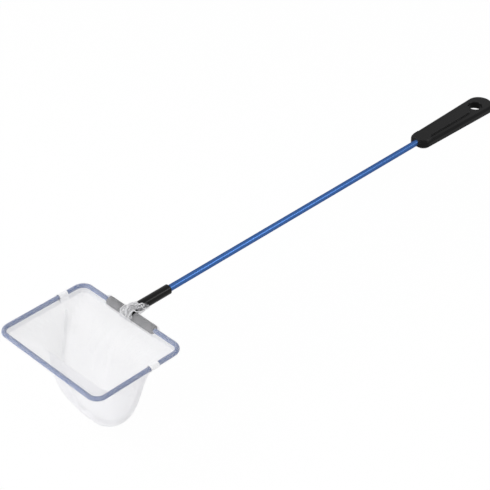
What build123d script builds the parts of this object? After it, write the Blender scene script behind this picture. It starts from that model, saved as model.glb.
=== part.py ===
from build123d import *
import math
import os

# Aquarium fish net: flat moulded grip, slim blue tube, T-shaped connector, wire loop and mesh bag.
# Millimetres. The origin is the centre of the hang hole, half way through the grip's plate.
# +Y runs from the net to the end of the grip, +Z is up, and the bag hangs below the wire loop.

# Grip: a flat plate with a raised nose and spine that hold the tube
grip_length = 113.8
grip_nose_width = 21.6
grip_nose_corner = 8.6
grip_end_width = 26.8
plate_thickness = 7.8
plate_round = 2.4
plate_chamfer = 1.5
hang_hole_d = 14.0
hang_hole_to_end = 20.6
hang_hole_chamfer = 0.8
tube_rise = 0.8
cover_over_tube = 1.4
nose_block_length = 14.0
raised_inset = 1.4
shoulder_round = 3.0
spine_width = 11.4
spine_to_hole = 12.0
spine_chamfer = 0.8
grip_socket_depth = 66.0

# Tube between the grip and the connector
tube_d = 6.0
tube_wall = 0.6
tube_shown = 328.1

# T-connector: a stem for the tube, set above two arms for the wire ends
stem_d = 9.2
stem_reach = 43.0
stem_socket_depth = 33.0
stem_chamfer = 0.9
stem_front_chamfer = 2.2
arm_d = 8.3
arm_span = 58.0
arm_chamfer = 1.2
wire_drop = 4.4
wire_socket_depth = 22.0

# Wire loop: vinyl-coated steel wire, measured on its centre line
loop_width = 124.0
loop_depth = 91.3
loop_corner = 9.0
wire_d = 4.0

# Hem: the doubled edge of the mesh, sewn shut round the wire, with a short skirt below it
hem_clearance = 0.15
hem_wall = 0.35
channel_sides = 8
fold_sides = 16
skirt_wall = 0.7
stitch_drop = 3.6
skirt_drop = 5.8
skirt_lean = 30.0
sleeve_taper = 5.0
join_length = 9.0
join_extra = 0.35
join_left_setback = 24.0
join_right_setback = 31.0
piece_gap = 0.3

# Bag: a front and a rear panel sewn together along a U-shaped seam
bag_depth = 80.0
bag_bottom_setback = 54.0
bag_waist_in = 22.0
bag_waist_drop = 5.2
bag_foot_half = 4.2
bag_foot_power = 6
bag_sections = 10
bag_corner_gain = 60.0
bag_corner_share = 0.85
corner_folds = 4
panel_wall = 0.6
seam_foot_half = 37.0
seam_corner = 37.0
seam_top_drop = 4.0
seam_width = 3.6
seam_thickness = 1.1
seam_clearance = 0.3

# Gathered mesh round the root of the stem
gather_start = 5.2
gather_length = 8.0
gather_front_wall = 1.3
gather_rear_wall = 0.5
gather_clearance = 0.3

# Places that follow from the sizes above
grip_end_y = hang_hole_to_end
grip_nose_y = grip_end_y - grip_length
back_edge_y = grip_nose_y - tube_shown - stem_reach
front_edge_y = back_edge_y - loop_depth
wire_z = tube_rise - wire_drop
spine_top_z = tube_rise + tube_d / 2 + cover_over_tube
hem_inner_r = wire_d / 2 + hem_clearance
hem_outer_r = hem_inner_r + hem_wall
sleeve_inner_r = arm_d / 2 + hem_clearance
sleeve_outer_r = sleeve_inner_r + hem_wall
join_left_y = back_edge_y - join_left_setback
join_right_y = back_edge_y - join_right_setback
seam_top_y = back_edge_y - (join_left_setback + join_right_setback) / 2
skirt_tilt = math.radians(skirt_lean)
skirt_tip_in = skirt_drop * math.sin(skirt_tilt)
skirt_tip_down = skirt_drop * math.cos(skirt_tilt) + skirt_wall / 2 * math.sin(skirt_tilt)
panel_top_z = wire_z - skirt_tip_down - piece_gap
bag_bottom_y = back_edge_y - bag_bottom_setback
bag_bottom_z = wire_z - bag_depth
rail_x = loop_width / 2
bag_top_half = rail_x - skirt_tip_in


def save(solid, node):
    solid.label = node
    export_step(solid, f"parts/{node}.step")


def cylinder_y(diameter, y_start, y_end, z):
    """Round bar along Y between two stations."""
    disc = Plane(origin=(0, y_start, z), z_dir=(0, 1, 0)) * Circle(diameter / 2)
    return extrude(disc, y_end - y_start, dir=(0, 1, 0))


def cylinder_x(diameter, x_start, x_end):
    """Round bar along X on the back edge of the wire loop."""
    disc = Plane(origin=(x_start, back_edge_y, wire_z), z_dir=(1, 0, 0)) * Circle(diameter / 2)
    return extrude(disc, x_end - x_start, dir=(1, 0, 0))


# Grip
def plate_outline(inset):
    """Plan of the plate, drawn in by an inset: blunt nose with round corners, tangent sides, round end."""
    corner_x = grip_nose_width / 2 - grip_nose_corner
    corner_y = grip_nose_y + grip_nose_corner
    left_corner = Pos(-corner_x, corner_y) * Circle(grip_nose_corner - inset)
    right_corner = Pos(corner_x, corner_y) * Circle(grip_nose_corner - inset)
    end = Pos(0, grip_end_y - grip_end_width / 2) * Circle(grip_end_width / 2 - inset)
    return make_hull(left_corner.edges() + right_corner.edges() + end.edges())


def raised_outline():
    """Plan of what stands above the plate: the full-width nose and the spine behind it."""
    block_y = grip_nose_y + nose_block_length
    front = Pos(0, grip_nose_y) * Rectangle(grip_length, 2 * nose_block_length)
    nose = plate_outline(raised_inset) & front
    spine_end_y = -spine_to_hole - spine_width / 2
    spine = Pos(0, (block_y + spine_end_y) / 2) * Rectangle(spine_width, spine_end_y - block_y)
    plan = nose + spine + Pos(0, spine_end_y) * Circle(spine_width / 2)
    shoulders = plan.vertices().sort_by_distance((0, block_y))[:2]
    return fillet(shoulders, shoulder_round)


def make_grip():
    plate = extrude(plate_outline(0), plate_thickness / 2, both=True)
    plate = fillet(plate.edges().group_by(Axis.Z)[-1], plate_round)
    plate = chamfer(plate.edges().group_by(Axis.Z)[0], plate_chamfer)
    hole = Cylinder(hang_hole_d / 2, 2 * plate_thickness)
    drilled = plate - hole
    rims = new_edges(plate, hole, combined=drilled).filter_by(GeomType.CIRCLE)
    drilled = chamfer(rims, hang_hole_chamfer)
    raised = extrude(raised_outline(), spine_top_z)
    raised = chamfer(raised.edges().group_by(Axis.Z)[-1], spine_chamfer)
    socket = cylinder_y(tube_d, grip_nose_y, grip_nose_y + grip_socket_depth, tube_rise)
    return drilled + raised - socket


# Tube
def make_tube():
    y_start = back_edge_y + stem_reach - stem_socket_depth
    y_end = grip_nose_y + grip_socket_depth
    wall = cylinder_y(tube_d, y_start, y_end, tube_rise)
    return wall - cylinder_y(tube_d - 2 * tube_wall, y_start, y_end, tube_rise)


# T-connector
def make_connector():
    stem_end_y = back_edge_y + stem_reach
    stem = cylinder_y(stem_d, back_edge_y - arm_d / 2, stem_end_y, tube_rise)
    stem = chamfer(stem.edges().sort_by(Axis.Y)[0], stem_front_chamfer)
    stem = chamfer(stem.edges().sort_by(Axis.Y)[-1], stem_chamfer)
    arms = cylinder_x(arm_d, -arm_span / 2, arm_span / 2)
    arms = chamfer(arms.edges().filter_by(GeomType.CIRCLE), arm_chamfer)
    body = stem + arms
    body -= cylinder_y(tube_d, stem_end_y - stem_socket_depth, stem_end_y, tube_rise)
    for side in (-1, 1):
        body -= cylinder_x(wire_d, side * arm_span / 2, side * (arm_span / 2 - wire_socket_depth))
    return body


# Wire loop
def loop_path():
    """Centre line of the wire, from the bottom of one arm's socket round to the other."""
    tip_x = arm_span / 2 - wire_socket_depth
    corners = [
        (-tip_x, back_edge_y, wire_z),
        (-rail_x, back_edge_y, wire_z),
        (-rail_x, front_edge_y, wire_z),
        (rail_x, front_edge_y, wire_z),
        (rail_x, back_edge_y, wire_z),
        (tip_x, back_edge_y, wire_z),
    ]
    return FilletPolyline(*corners, radius=loop_corner)


def section_at(path):
    """Plane square to the start of a flat path, with its second axis up."""
    along = path % 0
    return Plane(origin=path @ 0, x_dir=Vector(0, 0, 1).cross(along), z_dir=along)


def make_wire():
    path = loop_path()
    return sweep(section_at(path) * Circle(wire_d / 2), path)


# Hem
def hem_section(extra):
    """Fold of mesh round the wire, drawn together at the stitching, with the skirt leaning into the loop."""
    wall = skirt_wall + 2 * extra
    skirt = Pos(0, -skirt_drop / 2) * Rectangle(wall, skirt_drop)
    stitch = Pos(0, -stitch_drop) * Rectangle(wall, wall)
    round_wire = RegularPolygon(hem_outer_r + extra, fold_sides, major_radius=False)
    fold = make_hull(round_wire.edges() + stitch.edges())
    channel = RegularPolygon(hem_inner_r, channel_sides, major_radius=False)
    return Rot(0, 0, skirt_lean) * (fold + skirt - channel)


def sweep_hem(*corners):
    points = [(x, y, wire_z) for x, y in corners]
    path = FilletPolyline(*points, radius=loop_corner)
    return sweep(section_at(path) * hem_section(0), path)


def make_front_hem():
    half_join = join_length / 2 + piece_gap
    return sweep_hem(
        (-rail_x, join_left_y - half_join),
        (-rail_x, front_edge_y),
        (rail_x, front_edge_y),
        (rail_x, join_right_y - half_join),
    )


def arm_sleeve():
    """Hem drawn over the right arm: a wide sleeve that tapers to the wire beyond the arm's end."""
    arm_end = arm_span / 2 + hem_clearance
    taper_end = arm_end + sleeve_taper
    stem_side = stem_d / 2 + piece_gap
    profile = Polyline(
        (stem_side, sleeve_inner_r),
        (arm_end, sleeve_inner_r),
        (taper_end, hem_inner_r),
        (taper_end, hem_outer_r),
        (arm_end, sleeve_outer_r),
        (stem_side, sleeve_outer_r),
        close=True,
    )
    ring = revolve(Plane.XY * make_face(profile), Axis.X)
    skirt_run = taper_end - stem_side
    skirt = Pos(stem_side + skirt_run / 2, 0, -skirt_drop / 2) * Box(skirt_run, skirt_wall, skirt_drop)
    skirt = Rot(-skirt_lean, 0, 0) * skirt
    bore_profile = Polyline(
        (stem_side, 0),
        (stem_side, sleeve_inner_r),
        (arm_end, sleeve_inner_r),
        (taper_end, hem_inner_r),
        (taper_end, 0),
        close=True,
    )
    bore = revolve(Plane.XY * make_face(bore_profile), Axis.X)
    return Pos(0, back_edge_y, wire_z) * (ring + (skirt - bore))


def make_rear_hem(join_y):
    """Right half of the rear hem, from its join round the corner and over the arm."""
    taper_end = arm_span / 2 + hem_clearance + sleeve_taper
    run = sweep_hem(
        (rail_x, join_y + join_length / 2 + piece_gap),
        (rail_x, back_edge_y),
        (taper_end, back_edge_y),
    )
    return run + arm_sleeve()


def make_join(join_y):
    """Overlap of the front and the rear hem on the right rail, thicker than either."""
    start = (rail_x, join_y - join_length / 2, wire_z)
    end = (rail_x, join_y + join_length / 2, wire_z)
    path = Line(start, end)
    return sweep(section_at(path) * hem_section(join_extra), path)


def left_hand(solid):
    return mirror(solid, about=Plane.YZ)


# Bag
seam_half_gap = seam_thickness / 2 + seam_clearance + panel_wall / 2
bag_mouth_half = loop_depth / 2 - skirt_tip_in - seam_half_gap
bag_taper = bag_mouth_half - bag_waist_in - bag_foot_half
bag_drop = panel_top_z - bag_bottom_z
seam_lean = math.atan2(seam_top_y - bag_bottom_y, bag_drop)
seam_length = math.hypot(seam_top_y - bag_bottom_y, bag_drop)
seam_slope = (bag_top_half - seam_foot_half) / seam_length
loop_centre_y = (front_edge_y + back_edge_y) / 2


def bag_levels():
    """Shares of the bag's depth at which its sections are set, closer together at the mouth and the foot."""
    return [(1 - math.cos(math.pi * step / bag_sections)) / 2 for step in range(bag_sections + 1)]


def seam_half_width(level):
    """Half the width of the U at a share of its depth: a straight side, then a round corner."""
    below = level * seam_length
    centre_below = seam_length - seam_corner
    stretch = math.hypot(1, seam_slope)
    centre_x = bag_top_half - seam_slope * centre_below - seam_corner * stretch
    arc_below = centre_below + seam_corner * seam_slope / stretch
    if below <= arc_below:
        return bag_top_half - seam_slope * below
    return centre_x + math.sqrt(seam_corner**2 - (below - centre_below) ** 2)


def bag_half_depth(level):
    """Half the bag from front to rear: drawn in fast below the hem, then tapering to the flat foot."""
    waist = bag_waist_in * (1 - math.exp(-level * bag_drop / bag_waist_drop))
    drawn_in = bag_mouth_half - waist - bag_taper * level
    return seam_half_gap + drawn_in * math.sqrt(1 - level**bag_foot_power)


def level_wall(level):
    """Thickness of a panel along a level cut, wider where the mesh lies flatter."""
    waist_slope = bag_waist_in / bag_waist_drop * math.exp(-level * bag_drop / bag_waist_drop)
    return panel_wall * math.hypot(1, waist_slope + bag_taper / bag_drop)


def panel_ring(level, towards):
    """Outline of a panel's thin cut at one level, from one seam round the front (-1) or the rear (1)."""
    seam_y = seam_top_y + (bag_bottom_y - seam_top_y) * level
    centre_y = loop_centre_y + (bag_bottom_y - loop_centre_y) * level
    edge_y = centre_y + towards * bag_half_depth(level)
    end_y = seam_y + towards * seam_clearance / 2
    corner = min(loop_corner + bag_corner_gain * level, bag_corner_share * abs(edge_y - end_y))

    def half_loop(side):
        x = seam_half_width(level) + side * panel_wall / 2
        y = edge_y + side * towards * level_wall(level) / 2
        radius = corner + side * panel_wall / 2
        right = []
        for step in range(corner_folds + 1):
            turn = math.pi / 2 * step / corner_folds
            right.append((x - radius * (1 - math.cos(turn)), y - towards * radius * (1 - math.sin(turn))))
        left = [(-px, py) for px, py in reversed(right)]
        return [(x, end_y), *right, *left, (-x, end_y)]

    z = panel_top_z - bag_drop * level
    return [(x, y, z) for x, y in half_loop(1) + half_loop(-1)[::-1]]


def make_panel(towards):
    """Mesh panel from its half of the mouth down to the foot of the bag, in flat facets."""
    rings = [panel_ring(level, towards) for level in bag_levels()]
    facets = [rings[0], rings[-1]]
    for upper, lower in zip(rings, rings[1:]):
        for point, corner in enumerate(upper):
            facets.append([corner, upper[point - 1], lower[point - 1], lower[point]])
    return Solid(Shell([Face(Wire.make_polygon(facet)) for facet in facets]))


def seam_plane():
    """Leaning plane that holds the U-shaped seam."""
    normal = Vector(0, -math.cos(seam_lean), math.sin(seam_lean))
    return Plane(origin=(0, seam_top_y, panel_top_z), x_dir=(1, 0, 0), z_dir=normal)


def make_seams():
    """Sewn allowance turned into the bag along the U, in three runs: left side, right side and bottom."""
    right = [(bag_top_half, seam_length)]
    right += [(seam_half_width(level), -level * seam_length) for level in bag_levels()]
    left = [(-x, y) for x, y in reversed(right)]
    bag_outline = make_face(Polyline(*right, *left, close=True))
    outer_inset = panel_wall / 2 + seam_clearance
    outer = offset(bag_outline, -outer_inset, kind=Kind.INTERSECTION)
    inner = offset(bag_outline, -outer_inset - seam_width, kind=Kind.INTERSECTION)
    band = extrude(outer - inner, seam_thickness / 2, both=True)
    split_y = seam_corner - seam_length
    side_length = -seam_top_drop - split_y - piece_gap / 2
    sides = Pos(0, -seam_top_drop - side_length / 2) * Box(loop_width, side_length, loop_width)
    bottom = Pos(0, split_y - piece_gap / 2 - seam_length) * Box(loop_width, 2 * seam_length, loop_width)
    left_run, right_run = (band & sides).solids().sort_by(Axis.X)
    runs = {"side_seam_left": left_run, "side_seam_right": right_run, "bottom_seam": (band & bottom).solid()}
    return {node: seam_plane() * run for node, run in runs.items()}


def make_gather():
    """Mesh bunched round the root of the stem, thick at the net and thin up the stem."""
    inner = stem_d / 2 + gather_clearance
    start = back_edge_y + gather_start
    end = start + gather_length
    profile = Polyline(
        (inner, start),
        (inner + gather_front_wall, start),
        (inner + gather_rear_wall, end),
        (inner, end),
        close=True,
    )
    collar = revolve(make_face(profile), Axis.Y)
    return Pos(0, 0, tube_rise) * collar


os.makedirs("parts", exist_ok=True)
save(make_grip(), "handle_grip")
save(make_tube(), "rod_tube")
save(make_connector(), "t_connector")
save(make_wire(), "frame_wire")
save(make_front_hem(), "hem_front")
save(left_hand(make_rear_hem(join_left_y)), "hem_rear_left")
save(make_rear_hem(join_right_y), "hem_rear_right")
save(left_hand(make_join(join_left_y)), "hem_join_left")
save(make_join(join_right_y), "hem_join_right")
save(make_panel(-1), "net_front_panel")
save(make_panel(1), "net_rear_panel")
for seam_name, seam_solid in make_seams().items():
    save(seam_solid, seam_name)
save(make_gather(), "neck_gather")
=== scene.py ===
# %% [markdown]
# # An aquarium fish net
#
# The real net is a flat black grip, a slim blue tube, a black T-shaped connector, a loop of
# blue-coated wire, and a bag of fine white mesh sewn over that loop. The hard pieces arrive finished
# from the CAD model and only need their surfaces. The cloth arrives as stiff stand-in solids, so every
# piece of cloth is made again here as thin sheets. All sizes are in metres and in the CAD's own frame.

# %% Load the frame
import math
import bpy
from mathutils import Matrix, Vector, noise
from mathutils.bvhtree import BVHTree


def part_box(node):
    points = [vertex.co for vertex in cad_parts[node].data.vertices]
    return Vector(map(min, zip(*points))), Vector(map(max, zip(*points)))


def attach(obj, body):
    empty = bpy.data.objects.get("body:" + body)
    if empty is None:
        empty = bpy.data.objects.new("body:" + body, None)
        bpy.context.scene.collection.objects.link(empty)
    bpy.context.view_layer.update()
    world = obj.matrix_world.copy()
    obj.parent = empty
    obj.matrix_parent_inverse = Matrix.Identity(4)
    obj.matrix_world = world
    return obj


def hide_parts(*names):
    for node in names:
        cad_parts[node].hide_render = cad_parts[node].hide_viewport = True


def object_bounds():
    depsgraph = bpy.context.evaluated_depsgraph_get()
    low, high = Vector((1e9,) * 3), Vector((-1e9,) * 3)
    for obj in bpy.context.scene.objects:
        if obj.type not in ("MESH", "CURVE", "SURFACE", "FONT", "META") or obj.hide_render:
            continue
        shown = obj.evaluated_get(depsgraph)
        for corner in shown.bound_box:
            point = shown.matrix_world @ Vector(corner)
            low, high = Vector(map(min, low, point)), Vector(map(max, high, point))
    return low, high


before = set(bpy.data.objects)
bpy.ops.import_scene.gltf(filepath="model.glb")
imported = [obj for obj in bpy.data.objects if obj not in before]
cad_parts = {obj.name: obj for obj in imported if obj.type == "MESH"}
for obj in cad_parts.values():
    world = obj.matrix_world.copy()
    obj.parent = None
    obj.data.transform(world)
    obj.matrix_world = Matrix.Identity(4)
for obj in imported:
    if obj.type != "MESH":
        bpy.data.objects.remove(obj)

cad_box = [list(corner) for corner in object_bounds()]
mm = 0.001
print("CAD pieces:", ", ".join(sorted(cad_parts)))

# %% [markdown]
# ## The camera
#
# The photograph looks down on the net from the front right with a long lens. The corners of the wire
# loop give the direction and the distance: four corners of a known rectangle leave one way to see them.
# The camera stands there and looks along that direction, shifted by half a pixel for the picture's frame.

# %% Camera
picture_side = 490
azimuth = math.radians(45.09)
elevation = math.radians(36.38)
back = Vector((
    math.sin(azimuth) * math.cos(elevation),
    -math.cos(azimuth) * math.cos(elevation),
    math.sin(elevation),
))
camera_data = bpy.data.cameras.new("photo_camera")
camera_data.lens = 110.72
camera_data.sensor_width = 36
camera_data.shift_x = -0.5 / picture_side
camera_data.shift_y = 0.5 / picture_side
camera = bpy.data.objects.new("photo_camera", camera_data)
camera.location = (0.7666, -1.09296, 0.7960)
camera.rotation_mode = "QUATERNION"
camera.rotation_quaternion = (-back).to_track_quat("-Z", "Y")
bpy.context.collection.objects.link(camera)
bpy.context.scene.camera = camera
print("camera at", tuple(round(c, 3) for c in camera.location))

# %% [markdown]
# ## The studio
#
# The photograph is a cut-out on pure white. A pale floor just under the bag and a white world give that
# white to the camera and to reflections, while lamps at a plain level light the net. Studio and finishes
# are built from many small nodes, so three helpers come first: one makes a node with its settings, one
# works out a number from one or two others, and one spreads a mask over a range of values.

# %% Node helpers
def add_node(tree, kind, **values):
    """One node, with its settings by attribute and its input values by socket name."""
    node = tree.nodes.new(kind)
    for name, value in values.items():
        if hasattr(node, name):
            setattr(node, name, value)
        else:
            node.inputs[name.replace("_", " ")].default_value = value
    return node


def work_out(tree, operation, first, second=None):
    """Math node on sockets or plain numbers; gives its result socket."""
    node = add_node(tree, "ShaderNodeMath", operation=operation)
    for place, value in enumerate((first, second)):
        if value is None:
            continue
        if isinstance(value, (int, float)):
            node.inputs[place].default_value = value
        else:
            tree.links.new(value, node.inputs[place])
    return node.outputs[0]


def ramp(tree, mask, low, span):
    """A mask from 0 to 1, turned into a value from low up to low + span."""
    return work_out(tree, "ADD", work_out(tree, "MULTIPLY", mask, span), low)


print("node helpers ready")

# %% [markdown]
# The world lights the net from all sides at three quarters of full white. Where the camera, a reflection
# or a see-through surface looks straight at it, it is full white instead. The kind of ray tells the two
# apart, so the background is white and the light on the net stays at a plain level.

# %% World
plain_white = (1, 1, 1, 1)


def seen_directly(tree):
    """1 for camera, glossy and transmission rays, which should meet plain white."""
    path = add_node(tree, "ShaderNodeLightPath")
    first = work_out(tree, "MAXIMUM", path.outputs["Is Camera Ray"], path.outputs["Is Glossy Ray"])
    return work_out(tree, "MAXIMUM", first, path.outputs["Is Transmission Ray"])


bpy.context.scene.view_settings.view_transform = "Standard"
world = bpy.data.worlds.new("white_room")
bpy.context.scene.world = world
world.use_nodes = True
room = world.node_tree
room.nodes.clear()
room_light = add_node(room, "ShaderNodeBackground", Color=plain_white, Strength=0.75)
room_seen = add_node(room, "ShaderNodeBackground", Color=plain_white, Strength=1.0)
room_mix = add_node(room, "ShaderNodeMixShader")
room_out = add_node(room, "ShaderNodeOutputWorld")
room.links.new(seen_directly(room), room_mix.inputs[0])
room.links.new(room_light.outputs[0], room_mix.inputs[1])
room.links.new(room_seen.outputs[0], room_mix.inputs[2])
room.links.new(room_mix.outputs[0], room_out.inputs["Surface"])
print("world ready")

# %% [markdown]
# The floor lies a millimetre under the bag. A floor that only glows would be just as white, but then the
# net would float. So the camera sees nearly all of it as plain white, and a small share as a lit surface
# that takes the net's soft shadow.

# %% Floor
floor_z = cad_box[0][2] - 1 * mm
floor_half = 6
white_share = 0.95
floor_corners = [(x * floor_half, y * floor_half, floor_z) for x, y in ((-1, -1), (1, -1), (1, 1), (-1, 1))]
floor_mesh = bpy.data.meshes.new("floor")
floor_mesh.from_pydata(floor_corners, [], [(0, 1, 2, 3)])
floor = bpy.data.objects.new("floor", floor_mesh)
bpy.context.collection.objects.link(floor)

floor_paint = bpy.data.materials.new("pale_floor")
floor_paint.use_nodes = True
paint = floor_paint.node_tree
paint.nodes.clear()
lit = add_node(paint, "ShaderNodeBsdfDiffuse", Color=(0.9, 0.9, 0.9, 1))
glow = add_node(paint, "ShaderNodeEmission", Color=plain_white, Strength=1.0)
floor_mix = add_node(paint, "ShaderNodeMixShader")
floor_out = add_node(paint, "ShaderNodeOutputMaterial")
paint.links.new(work_out(paint, "MULTIPLY", seen_directly(paint), white_share), floor_mix.inputs[0])
paint.links.new(lit.outputs[0], floor_mix.inputs[1])
paint.links.new(glow.outputs[0], floor_mix.inputs[2])
paint.links.new(floor_mix.outputs[0], floor_out.inputs["Surface"])
floor_mesh.materials.append(floor_paint)
print("floor at", round(floor_z, 4))

# %% [markdown]
# Three soft rectangles stand for a photographer's soft boxes. The key lamp is high on the left of the
# picture. The front lamp is low and lights the bag. The tube lamp stands beyond the grip and draws the
# long highlight on the tube: it is wide, because a narrow lamp breaks that highlight into dots.

# %% Lamps
def soft_lamp(name, place, aim, wide, tall, power):
    """Rectangular lamp at a place, turned to its aim."""
    data = bpy.data.lights.new(name, "AREA")
    data.shape = "RECTANGLE"
    data.size = wide
    data.size_y = tall
    data.energy = power
    lamp = bpy.data.objects.new(name, data)
    lamp.location = place
    lamp.rotation_mode = "QUATERNION"
    lamp.rotation_quaternion = (Vector(aim) - Vector(place)).to_track_quat("-Z", "Y")
    bpy.context.collection.objects.link(lamp)
    print(name, power, "W")


soft_lamp("key_lamp", (-1.1, -1.0, 1.3), (0, -0.4, 0), 0.9, 0.9, 7.5)
soft_lamp("front_lamp", (0.0, -1.9, 0.3), (0, -0.5, -0.04), 0.9, 0.5, 10)
soft_lamp("tube_lamp", (0.86, 0.48, 0.88), (0, -0.36, 0), 0.55, 0.4, 4)

# %% [markdown]
# ## Shared surface effects
#
# Three effects serve more than one finish, so each is a node group that is built once: the weave of the
# net, the slightly uneven white of its fibres, and the skin of a black moulding. A group only hands out
# colours, masks and heights. The shader itself stays in each material.

# %% Group helper
def new_group(name, inputs, outputs):
    """Empty node group with named sockets, given as name, kind and default."""
    group = bpy.data.node_groups.new(name, "ShaderNodeTree")
    for label, kind, value in inputs:
        socket = group.interface.new_socket(label, in_out="INPUT", socket_type=kind)
        socket.default_value = value
    for label, kind in outputs:
        group.interface.new_socket(label, in_out="OUTPUT", socket_type=kind)
    entry = group.nodes.new("NodeGroupInput")
    leave = group.nodes.new("NodeGroupOutput")
    return group, entry, leave


print("group helper ready")

# %% [markdown]
# ### The weave
#
# The bag is fine netting: threads about half a millimetre apart, with open squares between them. Real
# strands would be millions of tiny tubes. Instead each sheet carries a map of its cloth in metres, and
# the group turns that map into crossing threads: a mask that is 1 on a thread and 0 in a hole, and a
# height that rises to a ridge along each thread. The mask drives how see-through the cloth is.

# %% Weave group
least_height = 0.001
weave, weave_in, weave_out = new_group(
    "net_weave",
    [("Pitch", "NodeSocketFloat", 0.5 * mm), ("Thread", "NodeSocketFloat", 0.28)],
    [("Cover", "NodeSocketFloat"), ("Height", "NodeSocketFloat")],
)
cloth_map = add_node(weave, "ShaderNodeUVMap", uv_map="cloth")
split = add_node(weave, "ShaderNodeSeparateXYZ")
weave.links.new(cloth_map.outputs[0], split.inputs[0])
half_thread = work_out(weave, "MULTIPLY", weave_in.outputs["Thread"], 0.5)
ridges = []
for direction in (0, 1):
    pitches = work_out(weave, "DIVIDE", split.outputs[direction], weave_in.outputs["Pitch"])
    from_thread = work_out(weave, "SUBTRACT", work_out(weave, "FRACT", pitches), 0.5)
    fall = work_out(weave, "DIVIDE", work_out(weave, "ABSOLUTE", from_thread), half_thread)
    ridges.append(work_out(weave, "SUBTRACT", 1, fall))
height = work_out(weave, "MAXIMUM", work_out(weave, "MAXIMUM", ridges[0], ridges[1]), 0)
weave.links.new(work_out(weave, "GREATER_THAN", height, least_height), weave_out.inputs["Cover"])
weave.links.new(height, weave_out.inputs["Height"])
print("weave group:", len(weave.nodes), "nodes")

# %% [markdown]
# ### The tone of the fibres
#
# White synthetic mesh is never one white: it is a little bluer where it is clean and a little greyer
# where it has been handled. A slow noise in the object's own space moves between the two tones.

# %% Fibre tone group
tone, tone_in, tone_out = new_group(
    "fibre_tone",
    [("Clean", "NodeSocketColor", (0.93, 0.94, 0.96, 1)),
     ("Used", "NodeSocketColor", (0.84, 0.85, 0.87, 1)),
     ("Scale", "NodeSocketFloat", 60.0)],
    [("Color", "NodeSocketColor"), ("Rough", "NodeSocketFloat")],
)
tone_place = add_node(tone, "ShaderNodeTexCoord")
tone_noise = add_node(tone, "ShaderNodeTexNoise", Detail=5.0, Roughness=0.6)
tone_mix = add_node(tone, "ShaderNodeMix", data_type="RGBA")
tone.links.new(tone_place.outputs["Object"], tone_noise.inputs["Vector"])
tone.links.new(tone_in.outputs["Scale"], tone_noise.inputs["Scale"])
tone.links.new(tone_noise.outputs["Fac"], tone_mix.inputs["Factor"])
tone.links.new(tone_in.outputs["Clean"], tone_mix.inputs["A"])
tone.links.new(tone_in.outputs["Used"], tone_mix.inputs["B"])
tone.links.new(tone_mix.outputs["Result"], tone_out.inputs["Color"])
tone.links.new(ramp(tone, tone_noise.outputs["Fac"], low=0.5, span=0.3), tone_out.inputs["Rough"])
print("fibre tone group:", len(tone.nodes), "nodes")

# %% [markdown]
# ### The skin of a moulding
#
# The grip and the connector are moulded in black plastic. The mould leaves a fine pebbled grain, some
# patches are rubbed smoother by hands, and edges go slightly grey. A bevel lookup bends the normal only
# near an edge, so the difference from the true normal is a ready mask for that rubbed edge. It is broken
# up by a noise, because hands don't rub evenly.

# %% Moulded skin group: rubbed edges
edge_reach = 0.7 * mm
edge_gain = 5
skin, skin_in, skin_out = new_group(
    "moulded_skin",
    [("Body", "NodeSocketColor", (0.012, 0.012, 0.013, 1)),
     ("Rubbed", "NodeSocketColor", (0.06, 0.06, 0.062, 1)),
     # Near-black colour painted into the hollows as shade.
     ("PaintedShade", "NodeSocketColor", (0.001, 0.001, 0.001, 1)),
     ("Grain", "NodeSocketFloat", 1400.0)],
    [("Color", "NodeSocketColor"), ("Rough", "NodeSocketFloat"), ("Height", "NodeSocketFloat")],
)
skin_place = add_node(skin, "ShaderNodeTexCoord")
skin_true = add_node(skin, "ShaderNodeNewGeometry")
skin_bevel = add_node(skin, "ShaderNodeBevel", samples=4, Radius=edge_reach)
skin_dot = add_node(skin, "ShaderNodeVectorMath", operation="DOT_PRODUCT")
skin.links.new(skin_bevel.outputs[0], skin_dot.inputs[0])
skin.links.new(skin_true.outputs["Normal"], skin_dot.inputs[1])
edge = work_out(skin, "SUBTRACT", 1, skin_dot.outputs["Value"])
patches = add_node(skin, "ShaderNodeTexNoise", Scale=90.0, Detail=4.0)
skin.links.new(skin_place.outputs["Object"], patches.inputs["Vector"])
rubbing = work_out(skin, "MULTIPLY", work_out(skin, "MULTIPLY", edge, edge_gain), patches.outputs["Fac"])
rubbed = work_out(skin, "MINIMUM", rubbing, 1)
print("rubbed edges reach", edge_reach, "m")

# %% [markdown]
# The hollows beside the grip's spine are painted deep black: painted shade, standing in for the shade that
# falls in them. A lookup of how open a point lies gives their mask, and a high power keeps the painted shade
# to the deepest places. Patches move the gloss, and a fine noise is the pebbled grain.

# %% Moulded skin group: painted shade in hollows, gloss and grain
shade_reach = 12 * mm
shade_power = 10
# Painted shade: where a point is enclosed, the colour goes to the near-black hollow colour, for the shade
# that falls there.
openness = add_node(skin, "ShaderNodeAmbientOcclusion", samples=8, only_local=True, Distance=shade_reach)
painted_shade_mix = add_node(skin, "ShaderNodeMix", data_type="RGBA")
skin.links.new(work_out(skin, "POWER", openness.outputs["AO"], shade_power), painted_shade_mix.inputs["Factor"])
skin.links.new(skin_in.outputs["PaintedShade"], painted_shade_mix.inputs["A"])
skin.links.new(skin_in.outputs["Body"], painted_shade_mix.inputs["B"])
skin_mix = add_node(skin, "ShaderNodeMix", data_type="RGBA")
skin.links.new(rubbed, skin_mix.inputs["Factor"])
skin.links.new(painted_shade_mix.outputs["Result"], skin_mix.inputs["A"])
skin.links.new(skin_in.outputs["Rubbed"], skin_mix.inputs["B"])
skin.links.new(skin_mix.outputs["Result"], skin_out.inputs["Color"])
skin.links.new(ramp(skin, patches.outputs["Fac"], low=0.14, span=0.16), skin_out.inputs["Rough"])
pebbles = add_node(skin, "ShaderNodeTexNoise", Detail=3.0)
skin.links.new(skin_place.outputs["Object"], pebbles.inputs["Vector"])
skin.links.new(skin_in.outputs["Grain"], pebbles.inputs["Scale"])
skin.links.new(pebbles.outputs["Fac"], skin_out.inputs["Height"])
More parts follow.
